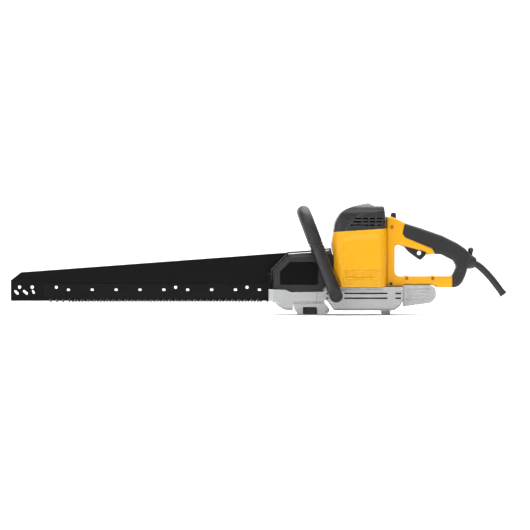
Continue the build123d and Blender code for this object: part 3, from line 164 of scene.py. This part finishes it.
def finish_surface(name, tone, rough, metallic=0.0, mottle=0.08, grain=1400.0, relief=0.12,
                   edge=0.0008, wear_and_sheen=0.0, wear_and_sheen_tone=None, streaks=None, gloss=0.5,
                   sunk_shade=None):
    """Painted, moulded or machined surface: mottled colour, uneven gloss, grain, and edges
    brightened as wear and painted highlight.

    The last argument gives the distance of a recessed floor from the middle plane, and the
    colour of painted shade laid on that floor.
    """
    graph = Graph(name)
    shader = graph.shader
    shader.inputs["Metallic"].default_value = metallic
    shader.inputs["Specular IOR Level"].default_value = gloss
    place = graph.stretched(streaks) if streaks else None
    dark = tuple(c * (1.0 - mottle) for c in tone[:3]) + (1.0,)
    light = tuple(min(1.0, c * (1.0 + mottle)) for c in tone[:3]) + (1.0,)
    broad = graph.spread(graph.noise(cloud_scale, 4.0, place), 0.0, 1.0)
    colour = graph.blend(broad, dark, light)
    # Edges brightened toward the edge tone: partly rubbed wear, partly a painted highlight along
    # rounded edges and ribs.
    if wear_and_sheen:
        patches = graph.spread(graph.noise(rub_and_sheen_scale, 6.0), 0.0, 1.0, 0.35, 0.6)
        rub_and_sheen = graph.add("ShaderNodeMath", operation="MULTIPLY", use_clamp=True)
        graph.join(graph.edge_mask(edge), rub_and_sheen.inputs[0])
        graph.join(patches, rub_and_sheen.inputs[1])
        amount = graph.spread(rub_and_sheen.outputs[0], 0.0, wear_and_sheen, 0.0, 1.0)
        colour = graph.blend(amount, colour, wear_and_sheen_tone)
    # Painted shade laid on a recessed floor.
    if sunk_shade:
        colour = graph.blend(graph.shaded_floor_mask(sunk_shade[0]), colour, sunk_shade[1])
    graph.join(colour, shader.inputs["Base Color"])
    cloudy = graph.noise(gloss_scale, 5.0, place)
    uneven = graph.spread(cloudy, rough - gloss_swing, rough + gloss_swing)
    graph.join(uneven, shader.inputs["Roughness"])
    bevel = graph.add("ShaderNodeBevel", samples=4)
    bevel.inputs["Radius"].default_value = edge
    bump = graph.add("ShaderNodeBump")
    bump.inputs["Strength"].default_value = relief
    bump.inputs["Distance"].default_value = grain_height
    graph.join(graph.noise(grain, 2.0, place), bump.inputs["Height"])
    graph.join(bevel.outputs["Normal"], bump.inputs["Normal"])
    graph.join(bump.outputs["Normal"], shader.inputs["Normal"])
    return graph.material


def silver_casting(name, sunk_shade=None):
    """Silver paint on a die casting, with a painted highlight along its rounded edges."""
    return finish_surface(name, srgb(168, 169, 170), 0.34, metallic=0.3, mottle=0.05,
                          grain=900, relief=0.16, edge=0.0026, wear_and_sheen=0.7,
                          wear_and_sheen_tone=srgb(232, 233, 234), sunk_shade=sunk_shade)


# The lighter edge tones below are partly wear and partly painted highlight along edges and ribs,
# such as the ribs of the yellow motor housing.
finishes = {
    "yellow_plastic": finish_surface(
        "yellow_plastic", srgb(218, 156, 2), 0.36, mottle=0.03, grain=2200, relief=0.10,
        edge=0.0030, wear_and_sheen=0.55, wear_and_sheen_tone=srgb(255, 222, 70), gloss=0.35),
    "black_plastic": finish_surface(
        "black_plastic", srgb(24, 24, 26), 0.42, mottle=0.12, grain=2000, relief=0.22,
        edge=0.0014, wear_and_sheen=0.35, wear_and_sheen_tone=srgb(70, 70, 73), gloss=0.45),
    "soft_grip": finish_surface(
        "soft_grip", srgb(27, 27, 29), 0.50, mottle=0.14, grain=1500, relief=0.30,
        edge=0.0012, wear_and_sheen=0.2, wear_and_sheen_tone=srgb(60, 60, 63), gloss=0.4),
    "cable_rubber": finish_surface(
        "cable_rubber", srgb(27, 27, 29), 0.45, mottle=0.14, grain=1700, relief=0.2,
        edge=0.0008, wear_and_sheen=0.2, wear_and_sheen_tone=srgb(62, 62, 65), gloss=0.42),
    "silver_casting": silver_casting("silver_casting"),
    "machined_alloy": finish_surface(
        "machined_alloy", srgb(196, 198, 202), 0.32, metallic=0.8, mottle=0.06, grain=1200,
        relief=0.10, streaks=(1.0, 1.0, 14.0)),
    "bar_black": finish_surface(
        "bar_black", srgb(9, 10, 10), 0.34, mottle=0.2, grain=700, relief=0.07, edge=0.0007,
        wear_and_sheen=0.55, wear_and_sheen_tone=srgb(60, 61, 62), streaks=(0.6, 4.0, 7.0), gloss=0.12),
    "blade_black": finish_surface(
        "blade_black", srgb(10, 11, 11), 0.36, mottle=0.22, grain=900, relief=0.08,
        edge=0.0006, wear_and_sheen=0.6, wear_and_sheen_tone=srgb(78, 78, 78), streaks=(0.6, 4.0, 7.0),
        gloss=0.14),
    "carbide": finish_surface(
        "carbide", srgb(112, 112, 112), 0.34, metallic=0.8, mottle=0.15, grain=2500,
        relief=0.12, edge=0.0003),
    "steel": finish_surface(
        "steel", srgb(150, 152, 156), 0.28, metallic=0.95, mottle=0.08, grain=1500,
        relief=0.08, streaks=(1.0, 1.0, 10.0)),
    "bearing_steel": finish_surface(
        "bearing_steel", srgb(190, 192, 196), 0.16, metallic=1.0, mottle=0.04, relief=0.04),
    "dark_screw": finish_surface(
        "dark_screw", srgb(58, 58, 60), 0.34, metallic=0.8, mottle=0.12, relief=0.10,
        edge=0.0005, wear_and_sheen=0.5, wear_and_sheen_tone=srgb(130, 130, 132)),
    # The orange of this yellow zinc plating is deepened to stand in for the shade inside the
    # yellow screw holes: partly painted shade.
    "zinc_screw": finish_surface(
        "zinc_screw", srgb(196, 104, 20), 0.4, metallic=0.55, mottle=0.12, relief=0.12,
        edge=0.0005),
    "core_iron": finish_surface(
        "core_iron", srgb(92, 92, 96), 0.45, metallic=0.7, mottle=0.10, grain=500,
        relief=0.35, streaks=(0.2, 0.2, 8.0)),
    "copper": finish_surface(
        "copper", srgb(186, 104, 60), 0.32, metallic=0.85, mottle=0.14, grain=900,
        relief=0.3, streaks=(1.0, 1.0, 6.0)),
    "bronze": finish_surface(
        "bronze", srgb(176, 138, 84), 0.36, metallic=0.85, mottle=0.10, relief=0.15),
    "carbon": finish_surface(
        "carbon", srgb(40, 40, 42), 0.62, mottle=0.15, grain=1800, relief=0.35),
    "fan_plastic": finish_surface(
        "fan_plastic", srgb(60, 60, 62), 0.5, mottle=0.08, grain=1500, relief=0.15),
}
# Painted shade on recessed floors, darker than the part around them: the cooling slots of the
# gear housing and the panel of each guard, found by their distance from the middle plane
gear_slot_floor = 0.0348
guard_panel_floor = 0.0225
gear_slots_shaded = silver_casting("silver_casting_slot_shade", (gear_slot_floor, srgb(22, 22, 23)))
# The guard's bright rim tone is partly wear and partly a painted highlight along the bevelled
# rim.
guard_finish = finish_surface(
    "black_plastic_guard", srgb(48, 49, 51), 0.34, mottle=0.12, grain=2000, relief=0.22,
    edge=0.0022, wear_and_sheen=0.4, wear_and_sheen_tone=srgb(104, 104, 107), gloss=0.12,
    sunk_shade=(guard_panel_floor, srgb(3, 3, 3)))
# The cap's bright edge tone is partly wear and partly a painted highlight along its top.
cap_finish = finish_surface(
    "black_plastic_cap", srgb(33, 33, 35), 0.40, mottle=0.12, grain=2000, relief=0.22,
    edge=0.0020, wear_and_sheen=0.6, wear_and_sheen_tone=srgb(118, 118, 121), gloss=0.4)
# Near-black screen behind the cap's vents: painted shade, so the vents read as deep shadow.
vent_shade_finish = finish_surface("vent_shade_screen", srgb(3, 3, 3), 0.7, mottle=0.2, gloss=0.05)
special = {"gear_housing": gear_slots_shaded, "guard_left": guard_finish,
           "guard_right": guard_finish, "top_cap": cap_finish, "dust_screen": vent_shade_finish}
for node, piece in nodes.items():
    for material_slot in piece.material_slots:
        material_slot.material = special.get(node, finishes[slot_of[node]])


# ---- Studio ------------------------------------------------------------------------------
def make_backdrop():
    """Pale floor that curves up into a wall behind the saw."""
    front_y = -6.0
    wall_y = 3.2
    wall_top = 7.0
    bend = 1.4
    bend_steps = 12
    half_width = 9.0
    floor_gap = 0.0005     # keeps the floor just under the saw's feet
    mesh = bpy.data.meshes.new("backdrop")
    form = bmesh.new()
    line = [(front_y, 0.0)]
    for step in range(bend_steps + 1):
        turn = math.radians(90.0 * step / bend_steps)
        line.append((wall_y - bend + bend * math.sin(turn), bend - bend * math.cos(turn)))
    line.append((wall_y, wall_top))
    rows = [[form.verts.new((x, y, z - floor_gap)) for y, z in line]
            for x in (-half_width, half_width)]
    for i in range(len(line) - 1):
        form.faces.new((rows[0][i], rows[1][i], rows[1][i + 1], rows[0][i + 1]))
    form.to_mesh(mesh)
    form.free()
    for face in mesh.polygons:
        face.use_smooth = True
    backdrop = bpy.data.objects.new("backdrop", mesh)
    bpy.context.collection.objects.link(backdrop)
    graph = Graph("backdrop_paper")
    graph.shader.inputs["Roughness"].default_value = 0.9
    tone = graph.spread(graph.noise(3.0), 0.0, 1.0)
    graph.join(graph.blend(tone, (0.86, 0.86, 0.86, 1.0), (0.88, 0.88, 0.88, 1.0)),
               graph.shader.inputs["Base Color"])
    graph.shader.inputs["Emission Color"].default_value = (1.0, 1.0, 1.0, 1.0)
    split = graph.add("ShaderNodeSeparateXYZ")
    graph.join(graph.place, split.inputs[0])
    glow_low = 0.05
    glow_high = 0.62
    full_height = 1.2
    glow = graph.spread(split.outputs["Z"], glow_low, glow_high, 0.0, full_height)
    graph.join(glow, graph.shader.inputs["Emission Strength"])
    mesh.materials.append(graph.material)


def area_light(name, place, size, power):
    """Soft box pointed at the middle of the motor."""
    data = bpy.data.lights.new(name, "AREA")
    data.shape = "RECTANGLE"
    data.size, data.size_y = size
    data.energy = power
    light = bpy.data.objects.new(name, data)
    bpy.context.collection.objects.link(light)
    light.location = place
    light.rotation_euler = (saw_middle - light.location).to_track_quat("-Z", "Y").to_euler()


def groove(name, points):
    """Fine dark parting line on both faces of a casting; points are (x, y, z)."""
    curve = bpy.data.curves.new(name, "CURVE")
    curve.dimensions = "3D"
    curve.bevel_depth = groove_radius
    curve.bevel_resolution = 1
    for side in (-1, 1):
        spline = curve.splines.new("POLY")
        spline.points.add(len(points) - 1)
        for spot, (x, y, z) in zip(spline.points, points):
            spot.co = (x, side * y, z, 1.0)
    line = bpy.data.objects.new(name, curve)
    bpy.context.collection.objects.link(line)
    curve.materials.append(groove_finish)
    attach(line, "housing")


groove_finish = finish_surface("groove", srgb(70, 71, 73), 0.6, mottle=0.2, relief=0.2)
cast_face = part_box("front_housing")[1][1]
groove_radius = 0.0003
seam_x = 0.112             # upright seam, and its height range
seam_high = 0.0440
seam_low = 0.0236
level_seam_z = 0.0250      # level seam, and its length range
level_seam_front = 0.068
level_seam_rear = 0.1268
groove("casting_seam_upright",
       [(seam_x, cast_face, seam_high), (seam_x, cast_face, seam_low)])
groove("casting_seam_level",
       [(level_seam_front, cast_face, level_seam_z), (level_seam_rear, cast_face, level_seam_z)])

make_backdrop()
saw_middle = Vector((0.1, 0.0, 0.1))
area_light("key", (-0.5, -2.2, 2.6), (2.6, 0.9), 54.0)
area_light("strip", (-2.6, -2.0, 0.9), (0.5, 1.5), 26.0)
area_light("fill", (2.0, -2.2, 2.0), (1.4, 1.0), 20.0)
area_light("top", (0.1, 0.5, 2.2), (2.4, 0.8), 80.0)
area_light("back", (0.8, 2.2, 1.8), (2.0, 1.0), 20.0)


def make_world():
    """Soft studio dome: bright overhead, dim along the horizon."""
    world = bpy.data.worlds.new("studio")
    world.use_nodes = True
    tree = world.node_tree
    place = tree.nodes.new("ShaderNodeTexCoord")
    split = tree.nodes.new("ShaderNodeSeparateXYZ")
    tree.links.new(place.outputs["Generated"], split.inputs[0])
    ramp = tree.nodes.new("ShaderNodeValToRGB")
    ramp.color_ramp.elements[0].position = 0.05
    ramp.color_ramp.elements[0].color = (0.10, 0.10, 0.10, 1.0)
    ramp.color_ramp.elements[1].position = 0.8
    ramp.color_ramp.elements[1].color = (1.0, 1.0, 1.0, 1.0)
    tree.links.new(split.outputs["Z"], ramp.inputs[0])
    tree.links.new(ramp.outputs[0], tree.nodes["Background"].inputs["Color"])
    tree.nodes["Background"].inputs["Strength"].default_value = 0.5
    bpy.context.scene.world = world


make_world()
bpy.context.scene.view_settings.view_transform = "Standard"
